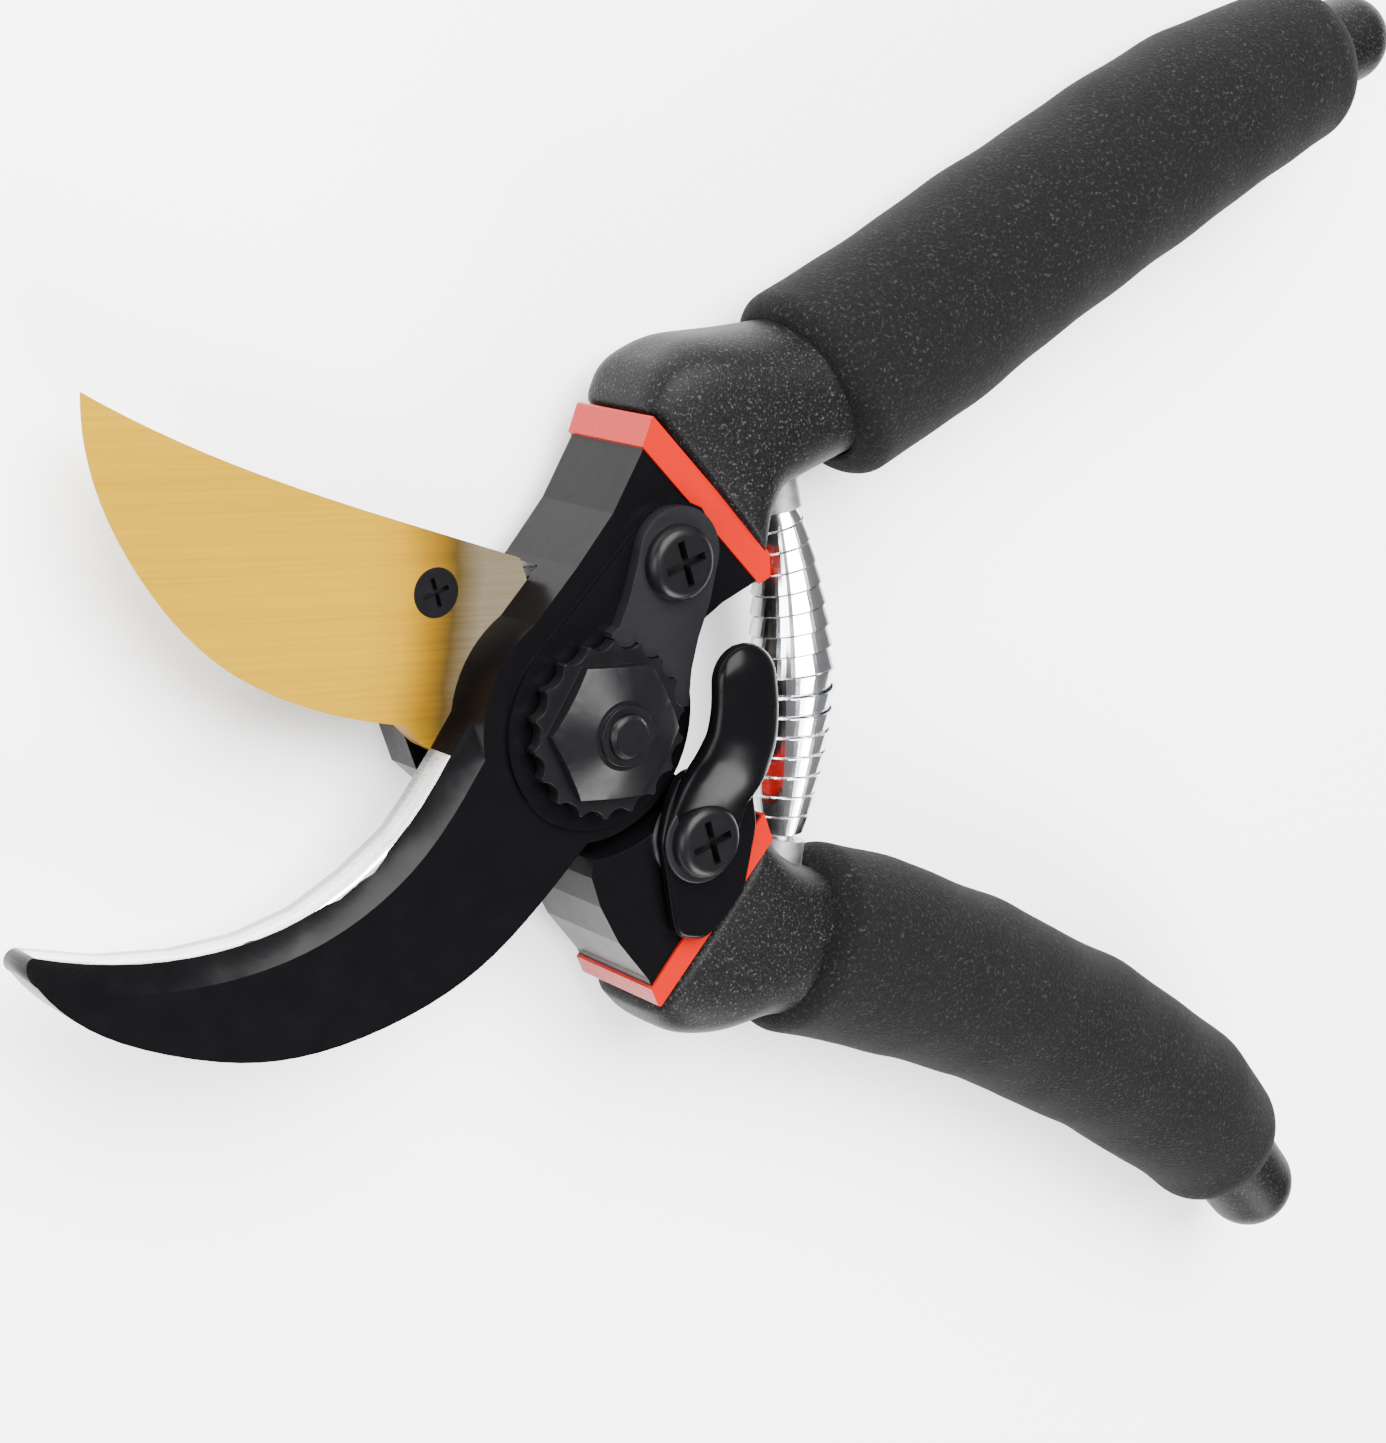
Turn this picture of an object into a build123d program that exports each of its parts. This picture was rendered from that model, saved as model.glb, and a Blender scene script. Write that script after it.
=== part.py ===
from build123d import *
import math
import os

# Bypass pruning shears, lying flat, in millimetres.
# Z is the pivot axis, with z = 0 on the flat face of the pivot bolt's head. X runs from the pivot
# along the bisector of the open handles, and Y towards the handle that is forged with the hook.

# Levels, from the bolt head up.
head_top = 3.0
washer_top = 3.6
running_gap = 0.05
tongue_top = 9.0
blade_top = 12.0
lap_bottom = blade_top + running_gap
neck_bottom = 4.8
lap_top = 18.8
land_top = 19.4
blade_neck_top = 19.5
mid = 12.0

# Pivot.
shoulder_r = 4.0
bushing_r = 5.5
thread_r = 2.5
thread_pitch = 0.8
thread_depth = 0.45
bolt_top = 26.0
bolt_head_r = 8.6
washer_r = 9.4
boss_r = 13.8
boss_xy = (-0.9, 0.4)
land_r = 11.8
disc_r = 15.6
lap_clear_r = 17.6
neck_clear_r = 15.2

# Adjusting nut and the plate that locks it.
nut_washer_top = 20.0
flange_top = 21.7
nut_top = 24.6
nut_boss_top = 25.1
flange_r = 10.0
tooth_count = 18
notch_r = 1.9
notch_out = 1.0
nut_corner_r = 8.5
nut_facet = 1.1
nut_boss_r = 3.4
plate_top = 21.0
plate_screw_xy = (8.2, 18.3)
plate_screw_tip = 8.0
plate_end_xy = (8.6, 19.1)
plate_end_r = 5.4
plate_gap = 0.12
plate_reach = 1.3
nut_washer_r = 8.0
pan_r = 4.3
pan_height = 1.8
pan_round = 1.2
screw_shank_r = 2.0
recess_reach = 0.62
recess_width = 0.34
recess_turn = 20
recess_depth = 1.3

# Blade and its screw.
blade_screw_xy = (-17.2, 14.6)
blade_screw_r = 2.8
blade_shank_r = 1.5
lobe_r = 5.2
countersink = 1.3
bevel_height = 2.85
bevel_width = 8.0

# Latch lever, on the neck of the blade's handle.
latch_xy = (13.2, -13.5)
latch_screw_tip = 7.5
latch_hub_r = 5.5
latch_spacer_top = 19.95
latch_bottom = 20.0
latch_plate_top = 21.6
latch_washer_top = 22.2
latch_washer_r = 5.1
latch_hole_gap = 0.06
arm_bottom = 23.2
arm_top = 26.6
arm_round = 1.0
foot_top = 25.4

# Broken corners.
head_chamfer = 0.5
hook_bevel = 2.4
hook_bevel_drop = 2.5
hook_chamfer = 0.7

# Dipped coating: a thin bright band, then a thicker sleeve over a forged core.
band_skin = 0.35
core_height_share = 0.8

# Handles. Each row is a section across the handle: the centre's x and y, the handle's heading in
# degrees, half the width, half the height, and how square the section is (2 is an ellipse).
hook_sleeve_rows = [
    (14.0, 26.3, 46.0, 12.5, 7.9, 6.0),
    (14.7, 30.4, 43.0, 12.3, 8.7, 4.5),
    (18.3, 33.8, 38.0, 11.0, 8.9, 3.2),
    (25.0, 35.2, 35.0, 9.9, 8.9, 2.5),
    (32.5, 37.0, 33.0, 8.9, 8.7, 2.2),
    (47.0, 44.4, 31.0, 8.5, 8.2, 2.0),
    (62.3, 53.8, 30.5, 8.4, 8.1, 2.0),
    (77.9, 63.1, 29.0, 8.2, 8.0, 2.0),
    (88.8, 69.2, 26.5, 7.6, 7.5, 2.0),
    (99.3, 74.5, 23.0, 6.9, 6.9, 2.0),
    (110.8, 79.2, 20.0, 5.9, 5.9, 2.0),
    (117.2, 81.5, 18.0, 5.3, 5.3, 2.0),
    (120.9, 82.7, 17.0, 3.7, 3.7, 2.0),
    (122.4, 83.2, 17.0, 1.2, 1.2, 2.0),
]
hook_grip_rows = [
    (31.6, 36.6, 34.0, 11.4, 10.8, 2.0),
    (33.9, 37.9, 34.0, 12.8, 11.5, 2.0),
    (47.0, 44.8, 32.0, 12.8, 11.5, 2.0),
    (62.0, 54.0, 30.5, 12.1, 11.7, 2.0),
    (77.9, 63.1, 29.0, 12.1, 11.6, 2.0),
    (91.3, 70.5, 26.0, 11.5, 11.4, 2.0),
    (102.7, 75.9, 22.0, 10.4, 10.4, 2.0),
    (109.0, 78.4, 20.5, 8.6, 8.6, 2.0),
    (111.3, 79.3, 20.0, 6.6, 6.6, 2.0),
]
blade_sleeve_rows = [
    (17.8, -24.6, -38.0, 12.5, 8.0, 4.5),
    (21.0, -27.8, -35.0, 12.7, 8.7, 4.0),
    (26.1, -29.4, -30.0, 11.3, 8.9, 3.2),
    (31.6, -29.6, -25.0, 9.5, 8.9, 2.5),
    (37.5, -30.6, -21.0, 8.9, 8.7, 2.2),
    (47.0, -33.3, -20.5, 8.5, 8.2, 2.0),
    (55.5, -36.4, -21.5, 8.4, 8.1, 2.0),
    (64.0, -39.8, -23.0, 8.2, 8.0, 2.0),
    (74.0, -44.3, -25.5, 8.1, 7.9, 2.0),
    (84.0, -49.2, -27.0, 7.9, 7.8, 2.0),
    (94.2, -54.8, -31.0, 7.6, 7.5, 2.0),
    (103.9, -60.9, -35.0, 7.2, 7.2, 2.0),
    (112.9, -68.4, -43.0, 6.5, 6.5, 2.0),
    (117.8, -73.4, -46.0, 6.0, 6.0, 2.0),
    (121.7, -77.4, -46.0, 4.1, 4.1, 2.0),
    (123.2, -79.0, -46.0, 1.3, 1.3, 2.0),
]
blade_grip_rows = [
    (34.4, -29.6, -21.0, 10.4, 10.2, 2.0),
    (36.8, -30.2, -21.0, 11.9, 11.6, 2.0),
    (46.0, -32.9, -20.0, 12.2, 11.6, 2.0),
    (55.0, -36.1, -22.0, 11.7, 11.6, 2.0),
    (64.0, -39.8, -23.0, 11.9, 11.6, 2.0),
    (74.0, -44.2, -25.0, 11.2, 11.4, 2.0),
    (84.0, -49.2, -27.0, 11.6, 11.5, 2.0),
    (95.0, -55.4, -31.0, 11.1, 11.3, 2.0),
    (103.9, -60.9, -35.0, 10.7, 11.0, 2.0),
    (109.8, -65.6, -40.0, 9.8, 10.0, 2.0),
    (113.2, -68.8, -43.0, 7.3, 7.3, 2.0),
]

# Return spring: a barrel of coiled strip on an arc between the two necks.
spring_ends = ((28.9, 22.6, mid), (32.7, 0.0, mid), (32.3, -17.3, mid))
spring_end_r = 2.4
spring_mid_r = 4.9
spring_swell = 0.8
spring_sections = 9
seat_flange_r = 3.0
seat_stud_r = 1.4
seat_stud_length = 3.0
seat_depth = 3.6


def cylinder(radius, low, high, xy=(0, 0)):
    """A round bar along Z between two levels."""
    return extrude(Plane((*xy, low)) * Circle(radius), high - low)


def plate(outline, low, high):
    """A flat plate between two levels."""
    return extrude(Plane((0, 0, low)) * outline, high - low)


def section(x, y, heading, half_width, half_height, squareness):
    """One rounded section across a handle, as a closed curve through points of a superellipse."""
    count = 16
    power = 2 / squareness
    points = []
    for k in range(count):
        angle = 2 * math.pi * (k + 0.5) / count
        across = math.copysign(abs(math.cos(angle)) ** power, math.cos(angle)) * half_width
        up = math.copysign(abs(math.sin(angle)) ** power, math.sin(angle)) * half_height
        points.append((across, up))
    ahead = math.radians(heading)
    side = (-math.sin(ahead), math.cos(ahead), 0)
    place = Plane((x, y, mid), x_dir=side, z_dir=(math.cos(ahead), math.sin(ahead), 0))
    return place * make_face(Spline(points, periodic=True))


def handle_loft(rows):
    """A smooth handle through its sections."""
    return loft([section(*row) for row in rows])


def tang(rows, start):
    """The forged core of a handle, in straight runs inside its sleeve, from the neck to near the tip."""
    bars = []
    for x, y, heading, half_width, half_height, _ in [start] + rows[2:-3]:
        ahead = math.radians(heading)
        side = (-math.sin(ahead), math.cos(ahead), 0)
        place = Plane((x, y, mid), x_dir=side, z_dir=(math.cos(ahead), math.sin(ahead), 0))
        bars.append(place * Rectangle(half_width, core_height_share * half_height))
    return loft(bars, ruled=True)


def cross_recess(xy, top, reach, depth):
    """The cross-shaped driver recess of a screw."""
    wide = recess_width * reach
    arms = Rectangle(2 * reach, wide) + Rectangle(wide, 2 * reach)
    return extrude(Plane((*xy, top - depth)) * (Rot(0, 0, recess_turn) * arms), depth + 1)


def pan_screw(xy, seat, tip):
    """A pan-head screw with a cross recess, its head on the level seat and its end at tip."""
    head = cylinder(pan_r, seat, seat + pan_height, xy)
    head = fillet(head.edges().group_by(Axis.Z)[-1], pan_round)
    head -= cross_recess(xy, seat + pan_height, recess_reach * pan_r, recess_depth)
    return head + cylinder(screw_shank_r, tip, seat, xy)


# Flat outlines, each starting at the pivot end of its piece.
def hook_outline():
    """The hook: a concave inner edge, a small blunt tip and a full convex back."""
    inner = Spline(
        (-13.0, 4.0), (-17.4, -3.0), (-23.2, -11.0), (-34.4, -18.7), (-48.5, -21.6), (-65.4, -19.5)
    )
    tip = ThreePointArc(inner @ 1, (-66.7, -20.6), (-66.0, -21.9))
    back = Spline(
        tip @ 1, (-61.8, -26.0), (-51.1, -31.0), (-39.5, -33.3), (-25.5, -31.4), (-13.6, -26.0),
        (-5.4, -18.8), (0, -13.0)
    )
    return make_face(inner + tip + back + Line(back @ 1, inner @ 0))


def boss_outline():
    """The round boss, set a little towards the hook's side of the pivot."""
    return Pos(*boss_xy) * Circle(boss_r)


def hook_neck_outline():
    """The hook handle's neck, widening from the boss to the coated band."""
    left = ((4, 6), (-9.4, 11.0), (-3.6, 17.8), (0.8, 23.6), (4.3, 30.4), (5.4, 33.9))
    right = ((22.2, 18.6), (22.5, 15.9), (16.5, 13.0), (12.2, 9.9), (12.1, 5.0))
    return make_face(Polyline(*left, *right, close=True))


def blade_neck_outline():
    """The blade handle's neck, from outside the boss to the coated band."""
    left = ((0, -12), (0.0, -17.3), (1.4, -20.8), (4.2, -25.3), (8.6, -30.1), (10.2, -33.0))
    right = ((24.7, -15.2), (23.3, -12.2), (13.6, -7.4), (8, -4))
    return make_face(Polyline(*left, *right, close=True)) - Circle(neck_clear_r)


def blade_neck_root():
    """The stretch of the blade handle's neck that runs in under the boss, to the disc."""
    return make_face(Polyline((0, -8), (0.0, -17.3), (14.2, -7.6), (8, 0), close=True))


def band_strip(near, far):
    """The part of a neck that the coloured band covers, between two lines across it."""
    return make_face(Polyline(*near, *far, close=True))


def blade_outline():
    """The blade: a nearly straight spine, a drop point, a deep curved edge and a round heel."""
    spine = Spline((-6.6, 18.0), (-24.2, 23.2), (-47.0, 31.0), (-59.3, 36.7))
    edge = Spline(spine @ 1, (-58.4, 29.9), (-52.0, 17.2), (-43.7, 8.6), (-33.0, 3.1), (-20.8, 0.2))
    heel = Polyline(edge @ 1, (-17.9, -2.4), (-14.0, -4.3))
    round_end = ThreePointArc(heel @ 1, (14.6, 0), (-4.8, 13.8))
    return make_face(spine + edge + heel + round_end + Line(round_end @ 1, spine @ 0))


def tongue_outline():
    """The blade handle's disc, with a tongue that backs the blade as far as its screw."""
    lobe = Pos(*blade_screw_xy) * Circle(lobe_r)
    over = ((-12, 9), (-13.6, 18.3), (-21.9, 16.8))
    under = ((-19.0, -1.0), (-17.0, -5.6), (-11, -10.5))
    return Circle(disc_r) + lobe + make_face(Polyline(*over, *under, close=True))


def land_outline():
    """The raised land: a ring round the nut and a tapered tail that carries the lock plate."""
    left = ((-9.2, 7.4), (3.4, 21.2), (6.4, 24.4), (9.2, 25.2), (12.4, 24.0))
    right = ((14.4, 21.2), (14.4, 17.6), (13.4, 13.6), (11.9, 9.9), (11.0, 3.0))
    return Circle(land_r) + make_face(Polyline(*left, *right, close=True))


def lock_plate_outline():
    """The lock plate: round at its screw, with a foot that curves down beside the nut."""
    around = Pos(*plate_end_xy) * Circle(plate_end_r)
    left = ((3.4, 20.3), (2.0, 14.1), (0.9, 11.3), (0, 10.7), (0, 6.9))
    right = ((6.9, 1.22), (10.95, 1.93), (11.1, 6.0), (11.8, 9.6), (13.1, 13.6), (13.95, 18.6))
    return around + make_face(Polyline(*left, *right, close=True))


def latch_plate_outline():
    """The lever's flat part: a round hub, a nose towards the boss and a tail over the band."""
    left = ((11.0, -5.4), (9.6, -6.6), (8.8, -11.0), (8.9, -16.9), (10.4, -23.4), (11.2, -25.0))
    right = ((14.8, -25.6), (17.2, -23.8), (19.8, -20.2), (20.8, -12.6), (19.4, -5.4))
    return Pos(*latch_xy) * Circle(latch_hub_r) + make_face(Polyline(*left, *right, close=True))


def thumb_arm_outline():
    """The thumb arm, seen from above: a plump, slightly bent finger with a round end."""
    left = Spline((10.2, -6.4), (11.3, -2.6), (11.6, 1.4), (11.4, 4.4), (11.3, 6.2))
    end = ThreePointArc(left @ 1, (15.0, 9.6), (19.2, 6.2))
    right = Spline(end @ 1, (20.1, 2.0), (19.5, -2.8), (18.6, -7.6))
    return make_face(left + end + right + Line(right @ 1, left @ 0))


def spring_seat(at, along):
    """A flanged stud that the end of the spring slips over, let into the handle behind it."""
    place = Plane(at, z_dir=along)
    stud = extrude(place * Circle(seat_stud_r), seat_stud_length)
    return stud + extrude(place * Circle(seat_flange_r), -seat_depth)


def spring_barrel(path):
    """The room that the coiled strip takes up: small at both ends, fullest halfway."""
    rings = []
    for k in range(spring_sections):
        share = k / (spring_sections - 1)
        radius = spring_end_r + (spring_mid_r - spring_end_r) * math.sin(math.pi * share) ** spring_swell
        rings.append(Plane(path @ share, z_dir=path % share) * Circle(radius))
    return loft(rings)


def pivot_bolt():
    """Low round head, plain shoulder and threaded end with a chamfer."""
    head = chamfer(cylinder(bolt_head_r, 0, head_top).edges(), head_chamfer)
    shoulder = cylinder(shoulder_r, head_top, land_top)
    profile = [(0, land_top)]
    level = land_top
    while level < bolt_top - thread_pitch:
        profile += [(thread_r - thread_depth, level), (thread_r, level + thread_pitch / 2)]
        level += thread_pitch
    profile += [(thread_r - thread_depth, level), (thread_r - thread_depth, bolt_top), (0, bolt_top)]
    thread = revolve(Plane.XZ * make_face(Polyline(*profile, close=True)), Axis.Z)
    return head + shoulder + thread


def flange_outline():
    """The nut's toothed flange: pointed teeth between round notches."""
    disc = Circle(flange_r)
    for k in range(tooth_count):
        disc -= Rot(0, 0, 360 * k / tooth_count) * Pos(flange_r + notch_out, 0) * Circle(notch_r)
    return disc


def adjusting_nut():
    """Toothed flange, a hexagon whose top is one wide cone, and a low ring round the bolt."""
    hexagon = plate(RegularPolygon(nut_corner_r, 6), flange_top, nut_top)
    slope = Polyline(
        (0, flange_top), (nut_corner_r, flange_top), (nut_corner_r, flange_top + nut_facet),
        (nut_boss_r + nut_facet / 2, nut_top), (0, nut_top), close=True
    )
    cone = revolve(Plane.XZ * make_face(slope), Axis.Z)
    body = plate(flange_outline(), nut_washer_top, flange_top) + (hexagon & cone)
    body += cylinder(nut_boss_r, nut_top, nut_boss_top)
    return body - cylinder(thread_r, nut_washer_top, nut_boss_top)


def lock_plate():
    """The lock plate, with its foot cut to fit between the nut's teeth."""
    plan = lock_plate_outline() - Circle(flange_r - plate_reach)
    plan -= offset(flange_outline(), plate_gap)
    hole = cylinder(screw_shank_r, land_top, plate_top, plate_screw_xy)
    return plate(plan, land_top, plate_top) - hole


def latch_lever():
    """The latch: a flat plate on the neck, and a raised thumb arm on a foot."""
    lever = plate(latch_plate_outline(), latch_bottom, latch_plate_top)
    foot = make_face(Polyline((10.2, -8.2), (10.2, -6.4), (11.2, -5.4), (19.1, -5.4), (19.0, -8.2), close=True))
    lever += plate(foot, latch_plate_top, foot_top)
    arm = plate(thumb_arm_outline(), arm_bottom, arm_top)
    lever += fillet(arm.edges().group_by(Axis.Z)[-1], arm_round)
    return lever - cylinder(screw_shank_r + latch_hole_gap, latch_bottom, latch_plate_top, latch_xy)


def blade():
    """The blade, with its bevel ground on the side away from the hook."""
    body = plate(blade_outline(), tongue_top, blade_top)
    underside = body.faces().sort_by(Axis.Z)[0]
    edge = underside.edges().filter_by(GeomType.BSPLINE).sort_by(Axis.Y)[0]
    body = chamfer(edge, bevel_width, bevel_height, reference=underside)
    return body - cylinder(bushing_r, tongue_top, blade_top)


def blade_screw():
    """A small screw, countersunk flush with the blade so that the hook can pass over it."""
    sunk = blade_top - countersink
    slope = Polyline((0, blade_top), (blade_screw_r, blade_top), (blade_shank_r, sunk), (0, sunk), close=True)
    head = Pos(*blade_screw_xy) * revolve(Plane.XZ * make_face(slope), Axis.Z)
    return head + cylinder(blade_shank_r, neck_bottom, sunk, blade_screw_xy)


def hook_handle():
    """The forging that holds the hook, the pivot boss, the raised land, the neck and the core."""
    lap = hook_outline() + boss_outline() + hook_neck_outline()
    body = plate(lap, lap_bottom, lap_top)
    top = body.faces().sort_by(Axis.Z)[-1]
    rim = [e for e in top.edges() if e.center().X < -20]
    inner = ShapeList(rim).sort_by(Axis.Y)[-1]
    body = chamfer(inner, hook_bevel_drop, hook_bevel, reference=top)
    body += plate(land_outline(), lap_top, land_top)
    body += plate(hook_neck_outline() - Circle(lap_clear_r), neck_bottom, lap_bottom)
    body += tang(hook_sleeve_rows, (12.0, 23.0, 50.0, 9.0, 7.0, 6.0))
    body -= cylinder(shoulder_r, lap_bottom, land_top)
    return body - cylinder(screw_shank_r, plate_screw_tip, land_top, plate_screw_xy)


def blade_handle():
    """The forging behind the blade: disc, tongue, neck and core."""
    body = plate(tongue_outline(), washer_top + running_gap, tongue_top)
    body += plate(blade_neck_outline(), neck_bottom, blade_neck_top)
    body += plate(blade_neck_root(), neck_bottom, tongue_top)
    body += tang(blade_sleeve_rows, (16.0, -21.5, -40.0, 9.0, 7.0, 6.0))
    body -= cylinder(bushing_r, washer_top, tongue_top)
    body -= cylinder(blade_shank_r, washer_top, tongue_top, blade_screw_xy)
    return body - cylinder(screw_shank_r, latch_screw_tip, blade_neck_top, latch_xy)


def band(neck, strip, low, high):
    """A thin coloured skin round a neck, between two lines across it."""
    skin = plate(offset(neck, band_skin) & strip, low - band_skin, high + band_skin)
    return skin


def ring(inner, outer, low, high, xy=(0, 0)):
    """A washer or a sleeve."""
    return cylinder(outer, low, high, xy) - cylinder(inner, low, high, xy)


hook_metal = hook_handle()
blade_metal = blade_handle()
spring_path = ThreePointArc(*spring_ends)
hook_end, blade_end = spring_path @ 0, spring_path @ 1
hook_seat = spring_seat(hook_end, spring_path % 0)
blade_seat = spring_seat(blade_end, -(spring_path % 1))
hook_skin = handle_loft(hook_sleeve_rows)
blade_skin = handle_loft(blade_sleeve_rows)
hook_strip = band_strip(((3.0, 31.9), (25.0, 11.6)), ((25.0, 16.2), (3.6, 35.8)))
blade_strip = band_strip(((8.6, -31.5), (24.4, -10.6)), ((26.0, -14.0), (9.9, -34.2)))

nodes = {
    "hook_handle": hook_metal,
    "hook_band": band(hook_neck_outline(), hook_strip, neck_bottom, lap_top) - hook_metal - hook_skin,
    "hook_sleeve": hook_skin - hook_metal - hook_seat,
    "hook_grip": handle_loft(hook_grip_rows) - hook_skin,
    "hook_spring_seat": hook_seat,
    "blade_handle": blade_metal,
    "blade_band": band(blade_neck_outline(), blade_strip, neck_bottom, blade_neck_top) - blade_metal - blade_skin,
    "blade_sleeve": blade_skin - blade_metal - blade_seat,
    "blade_grip": handle_loft(blade_grip_rows) - blade_skin,
    "blade_spring_seat": blade_seat,
    "blade": blade() - blade_screw(),
    "blade_screw": blade_screw() - cross_recess(blade_screw_xy, blade_top, 0.6 * blade_screw_r, 0.8),
    "pivot_bolt": pivot_bolt(),
    "bolt_washer": ring(shoulder_r, washer_r, head_top, washer_top),
    "pivot_bushing": ring(shoulder_r + running_gap, bushing_r, washer_top + running_gap, blade_top),
    "adjusting_nut": adjusting_nut(),
    "nut_washer": ring(thread_r, nut_washer_r, land_top, nut_washer_top),
    "lock_plate": lock_plate(),
    "lock_plate_screw": pan_screw(plate_screw_xy, plate_top, plate_screw_tip),
    "latch_lever": latch_lever(),
    "latch_spacer": ring(screw_shank_r, latch_washer_r, blade_neck_top, latch_spacer_top, latch_xy),
    "latch_washer": ring(screw_shank_r, latch_washer_r, latch_plate_top + running_gap, latch_washer_top, latch_xy),
    "latch_screw": pan_screw(latch_xy, latch_washer_top, latch_screw_tip),
    "return_spring": spring_barrel(spring_path) - hook_seat - blade_seat,
}

os.makedirs("parts", exist_ok=True)
for name, shape in nodes.items():
    export_step(shape, f"parts/{name}.step")
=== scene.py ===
import math
import bpy
import numpy as np
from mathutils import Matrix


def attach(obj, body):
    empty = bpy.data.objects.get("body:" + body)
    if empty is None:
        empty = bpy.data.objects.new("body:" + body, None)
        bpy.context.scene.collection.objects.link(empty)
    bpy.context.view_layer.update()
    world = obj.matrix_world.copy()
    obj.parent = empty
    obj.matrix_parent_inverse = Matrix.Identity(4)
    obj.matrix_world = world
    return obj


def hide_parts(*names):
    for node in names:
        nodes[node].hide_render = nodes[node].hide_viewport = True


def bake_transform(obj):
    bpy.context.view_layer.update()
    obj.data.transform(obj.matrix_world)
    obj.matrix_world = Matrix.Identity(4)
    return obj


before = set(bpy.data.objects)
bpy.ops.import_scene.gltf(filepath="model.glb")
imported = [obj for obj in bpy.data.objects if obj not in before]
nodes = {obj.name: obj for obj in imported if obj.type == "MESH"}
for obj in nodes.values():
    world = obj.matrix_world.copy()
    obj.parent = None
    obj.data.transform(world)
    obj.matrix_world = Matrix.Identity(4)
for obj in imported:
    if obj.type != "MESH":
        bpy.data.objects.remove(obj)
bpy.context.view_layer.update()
mm = 0.001

# --- Studio ---------------------------------------------------------------------------------
# The shears lie on a pale matte table under large soft lamps, seen from above the hook's side.
table_size = 2.4
table_drop = 0.0004
eye = (-0.19197, 0.06801, 0.29455)
eye_turn = (-13.617, -35.962, 3.96)
lens = 77.27
sensor = 36
near_limit = 0.01
world_light = 0.2
lamps = {
    "lamp_over": {"place": (-0.10, 0.62, 0.86), "size": 1.0, "watts": 84},
    "lamp_side": {"place": (-0.90, -0.05, 0.50), "size": 0.6, "watts": 16},
    "lamp_front": {"place": (0.30, -0.85, 0.60), "size": 0.6, "watts": 30},
}


def principled(name, color, roughness, metallic=0.0):
    """A new material with one Principled shader, its flat values set on the shader's sockets."""
    material = bpy.data.materials.new(name)
    material.use_nodes = True
    shader = material.node_tree.nodes["Principled BSDF"]
    shader.inputs["Base Color"].default_value = (*color, 1)
    shader.inputs["Roughness"].default_value = roughness
    shader.inputs["Metallic"].default_value = metallic
    return material, shader


def paint(thing, material):
    """Gives a piece one material."""
    if thing.material_slots:
        for held in thing.material_slots:
            held.material = material
    else:
        thing.data.materials.append(material)


def add_piece(name, points, faces):
    """A smooth mesh object, its faces turned outwards by the sign of its volume."""
    mesh = bpy.data.meshes.new(name)
    triangles = np.array([(f[0], f[k], f[k + 1]) for f in faces for k in range(1, len(f) - 1)])
    corner = points[triangles]
    volume = np.einsum("ij,ij->i", corner[:, 0], np.cross(corner[:, 1], corner[:, 2])).sum()
    if volume < 0:
        faces = [face[::-1] for face in faces]
    mesh.from_pydata(points.tolist(), [], faces)
    mesh.shade_smooth()
    thing = bpy.data.objects.new(name, mesh)
    bpy.context.scene.collection.objects.link(thing)
    return thing


table_points = np.array([(-1, -1, 0), (1, -1, 0), (1, 1, 0), (-1, 1, 0)]) * [table_size, table_size, 1]
table = add_piece("table", table_points - [0, 0, table_drop], [[0, 1, 2, 3]])
table_finish, _ = principled("table_white", (0.98, 0.98, 0.98), 0.6)
paint(table, table_finish)

camera_data = bpy.data.cameras.new("camera")
camera_data.lens = lens
camera_data.sensor_width = sensor
camera_data.clip_start = near_limit
camera = bpy.data.objects.new("camera", camera_data)
camera.location = eye
camera.rotation_euler = [math.radians(angle) for angle in eye_turn]
bpy.context.scene.collection.objects.link(camera)
bpy.context.scene.camera = camera

world = bpy.data.worlds.new("studio")
world.use_nodes = True
world.node_tree.nodes["Background"].inputs["Color"].default_value = (1, 1, 1, 1)
world.node_tree.nodes["Background"].inputs["Strength"].default_value = world_light
bpy.context.scene.world = world
for name, values in lamps.items():
    lamp = bpy.data.lights.new(name, "AREA")
    lamp.size = values["size"]
    lamp.energy = values["watts"]
    holder = bpy.data.objects.new(name, lamp)
    holder.location = values["place"]
    aim = -holder.location
    holder.rotation_euler = aim.to_track_quat("-Z", "Y").to_euler()
    bpy.context.scene.collection.objects.link(holder)

# --- Forgings -------------------------------------------------------------------------------
# Two drop forgings, one with the hook and one behind the blade, in gloss black baked enamel.
# Their edges are broken on a belt before painting, so every corner shows a thin soft light.


def add_node(material, kind, **values):
    """A new shader node with the named input sockets set."""
    node = material.node_tree.nodes.new(kind)
    for key, value in values.items():
        node.inputs[key.replace("_", " ")].default_value = value
    return node


def join(material, source, target):
    """A wire from one socket to another."""
    material.node_tree.links.new(source, target)


def place_on(material, turn=(0, 0, 0), stretch=(1, 1, 1), shift=(0, 0, 0)):
    """Object coordinates, shifted, turned and stretched, for a pattern to read."""
    where = add_node(material, "ShaderNodeTexCoord")
    mapping = add_node(material, "ShaderNodeMapping", Location=shift, Rotation=turn, Scale=stretch)
    join(material, where.outputs["Object"], mapping.inputs["Vector"])
    return mapping.outputs["Vector"]


def noise(material, vector, scale, detail=4.0, roughness=0.5):
    """Fractal noise on a vector, as a value from 0 to 1."""
    node = add_node(material, "ShaderNodeTexNoise", Scale=scale, Detail=detail, Roughness=roughness)
    join(material, vector, node.inputs["Vector"])
    return node.outputs["Fac"]


def rough_from(material, shader, value, low, high):
    """Roughness that runs from low to high as a value goes from 0 to 1."""
    spread = add_node(material, "ShaderNodeMapRange", To_Min=low, To_Max=high)
    join(material, value, spread.inputs["Value"])
    join(material, spread.outputs["Result"], shader.inputs["Roughness"])


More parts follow.
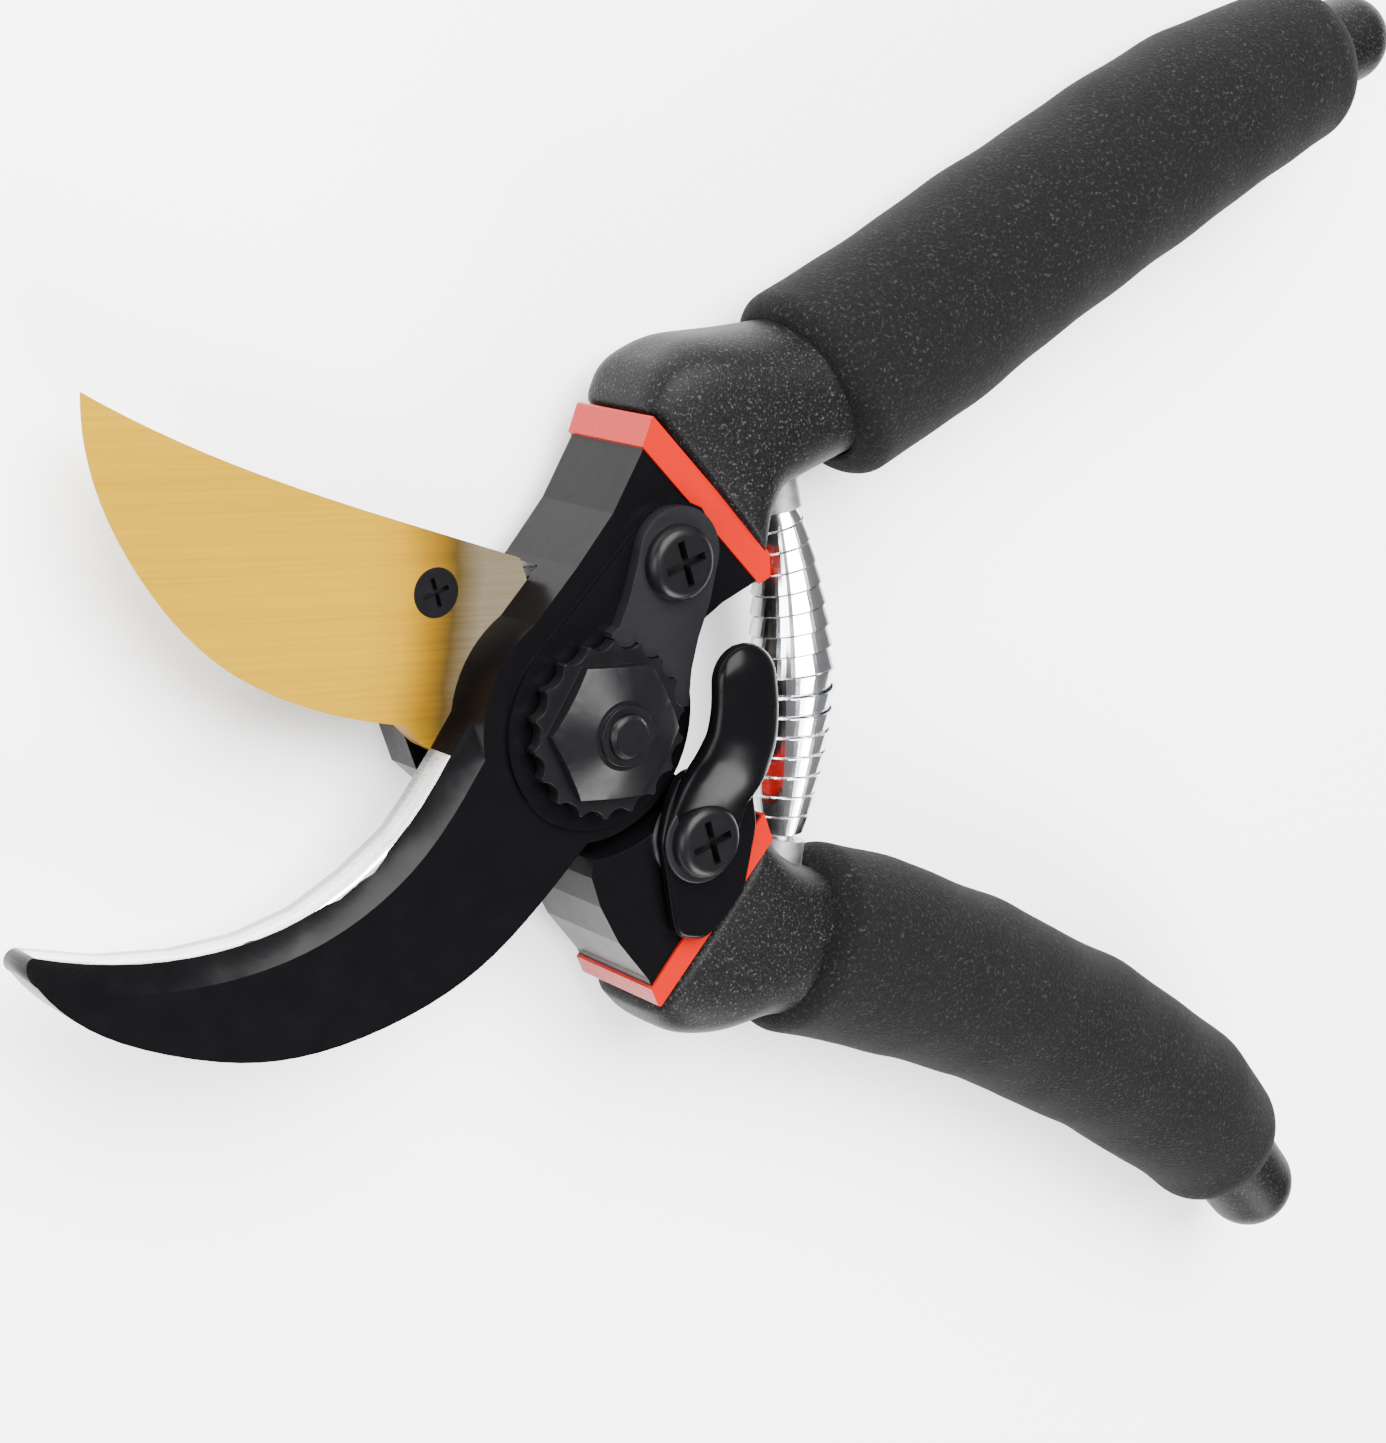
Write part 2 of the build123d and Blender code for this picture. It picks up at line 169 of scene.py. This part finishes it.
def satin(name, color, roughness, metallic, scale, stretch=(1, 1, 1)):
    """A plain finish whose roughness wanders between two values, in patches set by scale."""
    low, high = roughness
    material, shader = principled(name, color, (low + high) / 2, metallic)
    rough_from(material, shader, noise(material, place_on(material, stretch=stretch), scale), low, high)
    return material, shader


def bump(material, shader, height, strength, distance):
    """Fine relief from a height value."""
    node = add_node(material, "ShaderNodeBump", Strength=strength, Distance=distance)
    join(material, height, node.inputs["Height"])
    join(material, node.outputs["Normal"], shader.inputs["Normal"])


enamel, enamel_shader = satin("black_enamel", (0.0018, 0.0016, 0.002), (0.16, 0.34), 0.0, 260.0)
enamel_shader.inputs["Specular IOR Level"].default_value = 0.07
bump(enamel, enamel_shader, noise(enamel, place_on(enamel), 420.0, 2.0), 0.12, 0.0002)
corner_break = 0.35 * mm
weld_gap = 0.002 * mm


def break_corners(thing, width, turn=32):
    """Joins a part's loose triangles and rounds every corner sharper than turn degrees."""
    weld = thing.modifiers.new("join", "WELD")
    weld.merge_threshold = weld_gap
    edge = thing.modifiers.new("edge", "BEVEL")
    edge.width = width
    edge.segments = 3
    edge.limit_method = "ANGLE"
    edge.angle_limit = math.radians(turn)
    edge.harden_normals = True
    edge.use_clamp_overlap = True


for name in ("hook_handle", "blade_handle"):
    paint(nodes[name], enamel)
    break_corners(nodes[name], corner_break)

# --- Ground edge of the hook ----------------------------------------------------------------
# The inside of the hook is ground bright after painting, so the blade passes clean steel.
# The grinder leaves fine scratches. The colour is darker towards the bottom of the wall, next to the blade.
edge_route = ((-17.2, -2.6), (-20.1, -6.9), (-23.2, -11.0), (-28.7, -15.3), (-34.4, -18.7),
              (-41.0, -20.8), (-48.5, -21.6), (-57.0, -21.2), (-65.4, -19.5), (-66.6, -20.4))
edge_proud = 0.06
edge_low = 12.08
edge_high = 16.2
edge_depth = 0.8
edge_roll = 0.4
edge_rim = 0.02
edge_tuck = 0.6
edge_blur = 0.012
edge_steps = 140


def smooth_line(points, count, blur):
    """Points spread evenly along a chain of straight runs, then averaged over blur of its length."""
    points = np.array(points, float)
    runs = np.r_[0, np.cumsum(np.linalg.norm(np.diff(points[:, :2], axis=0), axis=1))]
    reach = runs[-1] * np.linspace(-0.5, 1.5, 2 * count + 1)
    held = np.clip(reach, 0, runs[-1])
    dense = np.stack([np.interp(held, runs, column) for column in points.T], axis=1)
    dense[:, :2] += np.outer(np.minimum(reach, 0), (points[1] - points[0])[:2] / runs[1])
    last = runs[-1] - runs[-2]
    dense[:, :2] += np.outer(np.maximum(reach - runs[-1], 0), (points[-1] - points[-2])[:2] / last)
    width = max(int(blur * count), 1)
    bell = np.exp(-0.5 * (np.arange(-3 * width, 3 * width + 1) / width) ** 2)
    bell /= bell.sum()
    spread = np.stack([np.convolve(column, bell, "same") for column in dense.T], axis=1)
    start = count // 2
    return spread[start:start + count + 1]


def sideways(line):
    """Unit vectors to the left of a flat line."""
    ahead = np.gradient(line[:, :2], axis=0)
    ahead /= np.linalg.norm(ahead, axis=1, keepdims=True)
    return np.stack([-ahead[:, 1], ahead[:, 0]], axis=1)


def ramp(material, value, stops):
    """A colour for each level of a value: stops are (level, colour)."""
    node = add_node(material, "ShaderNodeValToRGB")
    while len(node.color_ramp.elements) < len(stops):
        node.color_ramp.elements.new(0.5)
    for element, (level, color) in zip(node.color_ramp.elements, stops):
        element.position = level
        element.color = (*color, 1)
    join(material, value, node.inputs["Fac"])
    return node.outputs["Color"]


def gray(level):
    """A neutral colour."""
    return (level, level, level)


def tube_faces(rings, around):
    """Quads between rings of points, and a fan on the middle point of each end."""
    a = np.arange(rings - 1)[:, None] * around + np.arange(around)[None]
    b = np.roll(a, -1, axis=1)
    quads = np.stack([a, b, b + around, a + around], axis=-1).reshape(-1, 4).tolist()
    first, last = rings * around, rings * around + 1
    rim = np.arange(around)
    caps = [[first, int(j), int(i)] for i, j in zip(rim, np.roll(rim, -1))]
    base = (rings - 1) * around
    caps += [[last, base + int(i), base + int(j)] for i, j in zip(rim, np.roll(rim, -1))]
    return quads + caps


def tube_piece(name, rings):
    """A closed piece through rings of points: an array of ring, point and x, y, z in mm."""
    count, around, _ = rings.shape
    middles = rings[[0, -1]].mean(axis=1)
    points = np.concatenate([rings.reshape(-1, 3), middles]) * mm
    return add_piece(name, points, tube_faces(count, around))


line = smooth_line(edge_route, edge_steps, edge_blur)
side = -sideways(line)
profile = np.array([(-edge_depth, edge_low), (edge_proud, edge_low), (edge_proud, edge_high - edge_roll),
                    (edge_rim, edge_high), (-edge_depth, edge_high + edge_tuck)])
levels = np.broadcast_to(profile[None, :, 1:], (len(line), len(profile), 1))
flat = line[:, None, :] + side[:, None, :] * profile[None, :, :1]
rings = np.concatenate([flat, levels], axis=2)
ground_edge = tube_piece("ground_edge", rings)
steel, steel_shader = principled("ground_steel", (0.9, 0.9, 0.92), 0.22, 0.7)
scratch = noise(steel, place_on(steel, stretch=(9, 1, 0.4)), 900.0, 3.0)
steel_split = add_node(steel, "ShaderNodeSeparateXYZ")
join(steel, place_on(steel), steel_split.inputs["Vector"])
# Base colour darker below 13 mm height and lighter above 13.6 mm.
lip = add_node(steel, "ShaderNodeMapRange", From_Min=13.0 * mm, From_Max=13.6 * mm)
join(steel, steel_split.outputs["Z"], lip.inputs["Value"])
steel_tone = ramp(steel, lip.outputs["Result"], ((0.0, gray(0.42)), (1.0, gray(0.95))))
join(steel, steel_tone, steel_shader.inputs["Base Color"])
rough_from(steel, steel_shader, scratch, 0.12, 0.42)
bump(steel, steel_shader, scratch, 0.25, 0.0001)
paint(ground_edge, steel)
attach(ground_edge, "hook_half")

# --- Blade ----------------------------------------------------------------------------------
# Stamped steel with a gold nitride coat over lengthwise brushing. Near the heel, where the blade
# runs in under the boss, its colour is darkened towards near black as painted shade, made uneven by a cloud
# noise.
gold_color = (0.27, 0.155, 0.0003)
gold, gold_shader = principled("gold_blade", gold_color, 0.36, 0.05)
brush_turn = (0, 0, math.radians(22))
# Where the painted shade under the boss starts and ends along x, in mm, and how much the cloud noise shifts
# it.
shade_from = -26.0
shade_to = -7.0
shade_spread = 0.5
streaks = noise(gold, place_on(gold, brush_turn, (0.03, 2.4, 1)), 900.0, 5.0, 0.6)
cloud = noise(gold, place_on(gold, brush_turn, (0.3, 1, 1)), 60.0, 3.0)
gold_shader.inputs["Specular IOR Level"].default_value = 0.06
gold_mix = add_node(gold, "ShaderNodeMix")
gold_mix.data_type = "RGBA"
gold_mix.blend_type = "MULTIPLY"
gold_mix.inputs[0].default_value = 1.0
brushed = ramp(gold, streaks, ((0.3, (0.88, 0.82, 0.7)), (0.55, (1, 1, 1)), (0.8, (1, 1, 1))))
join(gold, brushed, gold_mix.inputs[7])
gold_split = add_node(gold, "ShaderNodeSeparateXYZ")
join(gold, place_on(gold), gold_split.inputs["Vector"])
# Painted shade: the blade's colour darkens along x towards the boss.
boss_shade = add_node(gold, "ShaderNodeMapRange", From_Min=shade_from * mm, From_Max=shade_to * mm)
join(gold, gold_split.outputs["X"], boss_shade.inputs["Value"])
uneven_shade = add_node(gold, "ShaderNodeMath")
uneven_shade.operation = "MULTIPLY_ADD"
uneven_shade.inputs[1].default_value = shade_spread
join(gold, cloud, uneven_shade.inputs[0])
join(gold, boss_shade.outputs["Result"], uneven_shade.inputs[2])
# Colours of the painted shade, from the plain gold down to near black under the boss.
shade_tint = ramp(gold, uneven_shade.outputs["Value"], (
    (0.16, gold_color), (0.46, (0.23, 0.125, 0.0004)), (0.66, (0.12, 0.06, 0.002)),
    (0.80, (0.04, 0.025, 0.006)), (1.0, (0.09, 0.075, 0.05))))
join(gold, shade_tint, gold_mix.inputs[6])
join(gold, gold_mix.outputs[2], gold_shader.inputs["Base Color"])
rough_from(gold, gold_shader, streaks, 0.32, 0.46)
bump(gold, gold_shader, streaks, 0.08, 0.0001)
paint(nodes["blade"], gold)

# --- Screws, nut and pivot bolt -------------------------------------------------------------
# Turned steel parts with a black oxide finish, oiled, so they are satin and slightly uneven.
oxide, oxide_shader = satin("black_oxide", (0.003, 0.003, 0.0035), (0.24, 0.46), 0.0, 500.0)
oxide_shader.inputs["Specular IOR Level"].default_value = 0.12
bump(oxide, oxide_shader, noise(oxide, place_on(oxide), 900.0, 2.0), 0.15, 0.0001)
small_break = 0.2 * mm
for name in ("adjusting_nut", "nut_washer", "pivot_bolt", "lock_plate_screw", "latch_screw", "blade_screw"):
    paint(nodes[name], oxide)
for name in ("adjusting_nut", "pivot_bolt"):
    break_corners(nodes[name], small_break)

# --- Sheet parts ----------------------------------------------------------------------------
# The lock plate and the spring washer under the latch screw are blackened sheet steel.
sheet_steel, sheet_shader = satin(
    "blackened_sheet", (0.006, 0.006, 0.007), (0.28, 0.5), 0.0, 450.0, stretch=(1, 3, 1)
)
sheet_shader.inputs["Specular IOR Level"].default_value = 0.12
for name in ("lock_plate", "latch_washer"):
    paint(nodes[name], sheet_steel)
    break_corners(nodes[name], small_break)

# --- Bearings and seats ---------------------------------------------------------------------
# The hidden washers, bushing and spring seats are plain zinc-plated steel and bronze.
zinc, _ = satin("zinc_plate", (0.6, 0.6, 0.62), (0.25, 0.5), 1.0, 600.0)
for name in ("bolt_washer", "latch_spacer", "hook_spring_seat", "blade_spring_seat"):
    paint(nodes[name], zinc)
bronze, _ = satin("bearing_bronze", (0.55, 0.33, 0.12), (0.3, 0.5), 1.0, 600.0)
paint(nodes["pivot_bushing"], bronze)

# --- Dipped bands ---------------------------------------------------------------------------
# Each neck was dipped first in glossy red vinyl; a narrow band of it shows below the sleeve.
red, red_shader = satin("red_vinyl", (0.26, 0.0022, 0.0001), (0.2, 0.34), 0.0, 300.0)
red_shader.inputs["Specular IOR Level"].default_value = 0.15
red_shader.inputs["Coat Weight"].default_value = 0.05
red_shader.inputs["Coat Roughness"].default_value = 0.1
band_break = 0.15 * mm
for name in ("hook_band", "blade_band"):
    paint(nodes[name], red)
    break_corners(nodes[name], band_break)

# --- Dipped sleeves -------------------------------------------------------------------------
# The second dip is thick black vinyl. It swells over the neck, runs inside the foam and closes
# round the end of the handle. Its skin is satin, with the fine grain of cast vinyl.
# Rows: centre x and y, heading in degrees, half width, half height, squareness (2 is an ellipse).
mid = 12.0
sleeve_steps = 180
sleeve_round = 0.9
sleeve_blur = 0.012
sleeve_around = 96
end_crowding = 0.35
thinnest = 0.15
hook_sleeve_rows = (
    (14.0, 26.3, 46.0, 12.5, 7.9, 6.0),
    (14.7, 30.4, 43.0, 12.3, 8.7, 4.5),
    (18.3, 33.8, 38.0, 11.0, 8.9, 3.2),
    (25.0, 35.2, 35.0, 9.9, 8.9, 2.5),
    (32.5, 37.0, 33.0, 8.9, 8.7, 2.2),
    (47.0, 44.4, 31.0, 8.5, 8.2, 2.0),
    (77.9, 63.1, 29.0, 8.2, 8.0, 2.0),
    (99.3, 74.5, 23.0, 6.9, 6.9, 2.0),
    (110.8, 78.7, 20.0, 5.9, 5.9, 2.0),
    (122.2, 82.5, 17.0, 5.3, 5.3, 2.0),
)
blade_sleeve_rows = (
    (17.8, -24.6, -38.0, 12.5, 8.0, 4.5),
    (21.0, -27.8, -35.0, 12.7, 8.7, 4.0),
    (26.1, -29.4, -30.0, 11.3, 8.9, 3.2),
    (31.6, -29.6, -25.0, 9.5, 8.9, 2.5),
    (37.5, -30.6, -21.0, 8.9, 8.7, 2.2),
    (47.0, -33.3, -20.0, 8.5, 8.2, 2.0),
    (64.0, -39.8, -23.0, 8.2, 8.0, 2.0),
    (84.0, -49.2, -27.0, 7.9, 7.8, 2.0),
    (103.9, -60.9, -35.0, 7.2, 7.2, 2.0),
    (112.9, -68.4, -43.0, 6.5, 6.5, 2.0),
    (123.5, -79.3, -46.0, 6.0, 6.0, 2.0),
)


def handle_stations(rows, count, blur, first_round, last_round):
    """Stations along a handle: the rows smoothed, and both ends drawn in by a quarter circle.

    Stations crowd towards both ends. At a distance d from an end, inside its rounding r, the
    widths shrink by r - sqrt(r squared - (r - d) squared).
    """
    even = smooth_line(rows, count, blur)
    ends = np.array([rows[0], rows[-1]])
    even[0, :2], even[-1, :2] = ends[:, :2]
    length = np.r_[0, np.cumsum(np.linalg.norm(np.diff(even[:, :2], axis=0), axis=1))]
    shares = np.linspace(0, np.pi, count + 1)
    crowded = end_crowding * (1 - np.cos(shares)) / 2
    where = length[-1] * (crowded + (1 - end_crowding) * np.linspace(0, 1, count + 1))
    even = np.stack([np.interp(where, length, column) for column in even.T], axis=1)
    for gap, curve in ((where, first_round), (length[-1] - where, last_round)):
        inside = np.clip(curve - gap, 0, curve)
        even[:, 3:5] -= (curve - np.sqrt(np.maximum(curve ** 2 - inside ** 2, 0)))[:, None]
    even[:, 3:5] = np.maximum(even[:, 3:5], thinnest)
    return even


def handle_rings(stations, around):
    """Superellipse rings: across = a |cos| ** (2 / s) and up = b |sin| ** (2 / s), with signs."""
    angle = np.linspace(0, 2 * np.pi, around, endpoint=False)[None]
    power = 2 / stations[:, 5:6]
    across = np.sign(np.cos(angle)) * np.abs(np.cos(angle)) ** power * stations[:, 3:4]
    up = np.sign(np.sin(angle)) * np.abs(np.sin(angle)) ** power * stations[:, 4:5]
    heading = np.radians(stations[:, 2:3])
    x = stations[:, 0:1] - np.sin(heading) * across
    y = stations[:, 1:2] + np.cos(heading) * across
    return np.stack([x, y, mid + up], axis=2)


vinyl, vinyl_shader = principled("black_vinyl", (0.014, 0.014, 0.016), 0.5)
vinyl_place = place_on(vinyl)
grain = noise(vinyl, vinyl_place, 3200.0, 2.0)
vinyl_tone = ramp(vinyl, grain, ((0.42, gray(0.002)), (0.6, gray(0.0045)), (0.75, gray(0.035))))
join(vinyl, vinyl_tone, vinyl_shader.inputs["Base Color"])
rough_from(vinyl, vinyl_shader, noise(vinyl, vinyl_place, 120.0), 0.42, 0.56)
bump(vinyl, vinyl_shader, grain, 0.35, 0.0002)
vinyl_shader.inputs["Specular IOR Level"].default_value = 0.09
for name, rows, body in (
    ("hook_sleeve", hook_sleeve_rows, "hook_half"),
    ("blade_sleeve", blade_sleeve_rows, "blade_half"),
):
    stations = handle_stations(rows, sleeve_steps, sleeve_blur, sleeve_round, rows[-1][3])
    sleeve = tube_piece(name + "_dipped", handle_rings(stations, sleeve_around))
    paint(sleeve, vinyl)
    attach(sleeve, body)
    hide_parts(name)

# --- Foam grips -----------------------------------------------------------------------------
# Lengths of closed-cell foam tube pulled over the sleeves. The foam is soft and a little uneven.
# Both have shallow finger waves along one side, deeper on the blade's handle.
hook_grip_rows = (
    (31.2, 35.7, 34.0, 12.6, 11.4, 2.0),
    (47.3, 44.3, 32.0, 12.6, 11.5, 2.0),
    (62.2, 53.5, 30.5, 12.1, 11.6, 2.0),
    (78.0, 62.6, 29.0, 12.0, 11.6, 2.0),
    (91.5, 70.0, 26.0, 11.5, 11.4, 2.0),
    (102.9, 75.2, 22.0, 10.6, 10.6, 2.0),
    (112.2, 78.9, 20.0, 9.6, 9.6, 2.0),
)
blade_grip_rows = (
    (33.4, -29.3, -21.0, 11.9, 11.4, 2.0),
    (46.0, -32.9, -20.0, 12.2, 11.6, 2.0),
    (55.0, -36.1, -22.0, 11.7, 11.6, 2.0),
    (64.0, -39.8, -23.0, 11.9, 11.6, 2.0),
    (74.0, -44.2, -25.0, 11.2, 11.4, 2.0),
    (84.0, -49.2, -27.0, 11.6, 11.5, 2.0),
    (95.0, -55.4, -31.0, 11.1, 11.3, 2.0),
    (103.9, -60.9, -35.0, 10.9, 11.1, 2.0),
    (114.6, -70.3, -43.0, 9.3, 9.3, 2.0),
)
foam_wall = 3.2
foam_steps = 200
foam_around = 128
foam_blur = 0.01
thin_lip = 0.05
near_round = 3.0
far_round = 5.5
lumps = ((0.06, 9.0, 2, 0.0), (0.05, 5.3, -3, 1.0))
foam, foam_shader = principled("black_foam", (0.02, 0.02, 0.022), 0.92)
cells = noise(foam, place_on(foam), 2300.0, 3.0, 0.7)
foam_tone = ramp(foam, cells, ((0.40, gray(0.0008)), (0.58, gray(0.002)), (0.72, gray(0.022))))
join(foam, foam_tone, foam_shader.inputs["Base Color"])
bump(foam, foam_shader, cells, 0.7, 0.0004)
foam_shader.inputs["Specular IOR Level"].default_value = 0.12
foam_shader.inputs["Sheen Weight"].default_value = 0.01
foam_shader.inputs["Sheen Roughness"].default_value = 0.5


def foam_tube(rows, waves, wave_depth, outer):
    """A foam tube: outer rings with slow lumps, then the bore's rings back to the start.

    Each lump adds height * sin(turns along + folds around + start), and finger waves take away
    depth * (1 - cos) / 2 on one side. Both fade out towards the ends.
    """
    stations = handle_stations(rows, foam_steps, foam_blur, near_round, far_round)
    rings = handle_rings(stations, foam_around)
    share = np.linspace(0, 1, len(stations))[:, None]
    angle = np.linspace(0, 2 * np.pi, foam_around, endpoint=False)[None]
    lump = sum(
        height * np.sin(turns * share * 2 * np.pi + folds * angle + start)
        for height, turns, folds, start in lumps
    )
    facing = np.maximum(np.cos(angle - outer), 0) ** 2
    dip = wave_depth * (1 - np.cos(2 * np.pi * waves * share)) / 2 * facing
    dip = dip * np.sin(np.pi * share) ** 0.5
    centre = rings.mean(axis=1, keepdims=True)
    out = rings - centre
    reach = np.linalg.norm(out, axis=2, keepdims=True)
    rings = centre + out * (1 + ((lump * np.sin(np.pi * share) - dip) / reach[..., 0])[..., None])
    bore = stations.copy()
    bore[:, 3:5] = np.maximum(stations[len(stations) // 2, 3:5] - foam_wall, 0)
    bore[:, 3:5] = np.minimum(bore[:, 3:5], stations[:, 3:5] - thin_lip)
    return np.concatenate([rings, handle_rings(bore, foam_around)[::-1]])


def ring_faces(rings, around):
    """Quads between rings of points, the last ring joined to the first."""
    a = np.arange(rings)[:, None] * around + np.arange(around)[None]
    b = np.roll(a, -1, axis=1)
    return np.stack([a, b, np.roll(b, -1, axis=0), np.roll(a, -1, axis=0)], axis=-1).reshape(-1, 4).tolist()


for name, rows, body, waves, depth, outer in (
    ("hook_grip", hook_grip_rows, "hook_half", 3, 0.25, 0.0),
    ("blade_grip", blade_grip_rows, "blade_half", 4, 0.5, math.pi),
):
    tube = foam_tube(rows, waves, depth, outer)
    grip = add_piece(name + "_foam", tube.reshape(-1, 3) * mm, ring_faces(len(tube), foam_around))
    paint(grip, foam)
    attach(grip, body)
    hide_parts(name)

# --- Return spring --------------------------------------------------------------------------
# Flat steel strip wound on edge into a double cone, bright plated. Its turns are widest halfway
# and step down to both seats, like stacked cups.
spring_ends = ((28.9, 22.6), (32.7, 0.0), (32.3, -17.3))
spring_turns = 16
spring_end_r = 2.1
spring_mid_r = 4.8
spring_swell = 0.8
spring_flare = 0.34
strip_thick = 0.3
strip_share = 0.94
strip_crown = 0.88
turn_steps = 56


def arc_through(a, b, c):
    """Centre, radius and the two end angles of the circle through three flat points."""
    (ax, ay), (bx, by), (cx, cy) = a, b, c
    d = 2 * (ax * (by - cy) + bx * (cy - ay) + cx * (ay - by))
    ux = ((ax**2 + ay**2) * (by - cy) + (bx**2 + by**2) * (cy - ay) + (cx**2 + cy**2) * (ay - by)) / d
    uy = ((ax**2 + ay**2) * (cx - bx) + (bx**2 + by**2) * (ax - cx) + (cx**2 + cy**2) * (bx - ax)) / d
    return (ux, uy), math.hypot(ax - ux, ay - uy), math.atan2(ay - uy, ax - ux), math.atan2(cy - uy, cx - ux)


(centre_x, centre_y), bow, from_angle, to_angle = arc_through(*spring_ends)
count = spring_turns * turn_steps
share = np.linspace(0, 1, count + 1)[:, None]
pitch = 1 / spring_turns
edge, crown = strip_share / 2, strip_crown / 2
strip = np.array([(-edge, 0), (-crown, 1), (crown, 1), (edge, 0), (crown, -1), (-crown, -1)])
along = np.clip(share + strip[None, :, 0] * pitch, 0, 1)
radius = spring_end_r + (spring_mid_r - spring_end_r) * np.sin(np.pi * share) ** spring_swell
flare = spring_flare * np.sign(0.5 - share) * strip[None, :, 0] * 2
radius = radius + flare + strip[None, :, 1] * strip_thick / 2
turn = 2 * np.pi * spring_turns * share
place = from_angle + (to_angle - from_angle) * along
outward = bow + radius * np.cos(turn)
level = mid + radius * np.sin(turn) + 0 * place
rings = np.stack([centre_x + outward * np.cos(place), centre_y + outward * np.sin(place), level], axis=2)
spring = tube_piece("coiled_strip", rings)
spring.data.shade_flat()
plate_finish, _ = satin("bright_plate", (0.86, 0.87, 0.9), (0.08, 0.24), 1.0, 400.0)
paint(spring, plate_finish)
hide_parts("return_spring")
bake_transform(spring)

# --- Thumb latch ----------------------------------------------------------------------------
# A pressed lever: a flat hub and tail on the neck, and a plump thumb arm that rises towards the
# nut. It is enamelled like the forgings.
tail_corners = ((8.9, -16.9), (10.4, -23.4), (11.2, -25.0), (14.8, -25.6), (17.2, -23.8), (20.1, -20.4),
                (21.4, -12.6), (19.8, -5.4), (11.0, -5.4), (9.6, -6.6), (8.6, -9.6), (7.9, -13.5))
# Arm rows: centre x, y and z, half width, half height.
arm_rows = (
    (13.9, -12.6, 21.0, 5.2, 1.3),
    (14.2, -8.6, 21.9, 4.9, 1.8),
    (15.3, -5.0, 23.6, 4.9, 2.2),
    (15.9, -1.4, 24.7, 4.6, 2.0),
    (15.9, 2.2, 24.95, 4.35, 1.85),
    (15.4, 5.8, 24.95, 4.1, 1.85),
    (15.1, 9.5, 24.9, 3.9, 1.8),
)
tail_low = 20.0
tail_high = 21.6
tail_edge = 0.5
tail_blur = 0.7
tail_rim_steps = 6
tail_cap = 1.6
tail_around = 160
arm_end_round = 4.0
arm_blur = 0.05
arm_steps = 90
arm_around = 64
arm_side_power = 0.85
arm_top_power = 0.75
arm_tip_power = 0.8
arm_tip_floor = 0.0009


def closed_loop(corners, count, blur):
    """A rounded flat loop: corners joined by straight runs, spread evenly, then averaged."""
    corners = np.array(corners + corners[:1], float)
    runs = np.r_[0, np.cumsum(np.linalg.norm(np.diff(corners, axis=0), axis=1))]
    where = np.linspace(0, runs[-1], count, endpoint=False)
    loop = np.stack([np.interp(where, runs, column) for column in corners.T], axis=1)
    width = blur * count / runs[-1]
    step = np.minimum(np.arange(count), count - np.arange(count))
    bell = np.exp(-0.5 * (step / width) ** 2)
    bell /= bell.sum()
    return np.real(np.fft.ifft(np.fft.fft(loop, axis=0) * np.fft.fft(bell)[:, None], axis=0))


def slab_rings(loop, low, high, edge):
    """A flat plate with rounded rims: the loop drawn in by edge at both faces along a quarter circle."""
    ahead = np.roll(loop, -1, axis=0) - np.roll(loop, 1, axis=0)
    ahead /= np.linalg.norm(ahead, axis=1, keepdims=True)
    inward = np.stack([-ahead[:, 1], ahead[:, 0]], axis=1)
    area = (loop[:, 0] * np.roll(loop[:, 1], -1) - loop[:, 1] * np.roll(loop[:, 0], -1)).sum()
    inward *= np.sign(area)
    turn = np.linspace(0, np.pi / 2, tail_rim_steps)
    draw = np.r_[tail_cap, 1 - np.sin(turn), (1 - np.sin(turn))[::-1], tail_cap] * edge
    level = np.r_[low, low + edge * (1 - np.cos(turn)), high - edge * (1 - np.cos(turn[::-1])), high]
    flat = loop[None] + inward[None] * draw[:, None, None]
    return np.concatenate([flat, np.broadcast_to(level[:, None, None], (len(level), len(loop), 1))], axis=2)


def arm_rings(rows, count, around, last_round):
    """The thumb arm: superellipse rings along its rising middle line, rounded at the free end."""
    stations = smooth_line(rows, count, arm_blur)
    length = np.r_[0, np.cumsum(np.linalg.norm(np.diff(stations[:, :2], axis=0), axis=1))]
    inside = np.clip(last_round - (length[-1] - length), 0, last_round)
    shrink = np.sqrt(np.maximum(1 - (inside / last_round) ** 2, arm_tip_floor))
    angle = np.linspace(0, 2 * np.pi, around, endpoint=False)[None]
    across = np.sign(np.cos(angle)) * np.abs(np.cos(angle)) ** arm_side_power * stations[:, 3:4]
    across = across * shrink[:, None]
    up = np.sign(np.sin(angle)) * np.abs(np.sin(angle)) ** arm_top_power * stations[:, 4:5]
    up = up * shrink[:, None] ** arm_tip_power
    side = sideways(stations)
    x = stations[:, 0:1] + side[:, :1] * across
    y = stations[:, 1:2] + side[:, 1:] * across
    return np.stack([x, y, stations[:, 2:3] + up], axis=2)


tail_loop = closed_loop(tail_corners, tail_around, tail_blur)
latch_tail = tube_piece("latch_tail", slab_rings(tail_loop, tail_low, tail_high, tail_edge))
latch_arm = tube_piece("latch_arm", arm_rings(arm_rows, arm_steps, arm_around, arm_end_round))
for thing in (latch_tail, latch_arm):
    paint(thing, enamel)
    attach(thing, "latch")
    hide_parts("latch_lever")
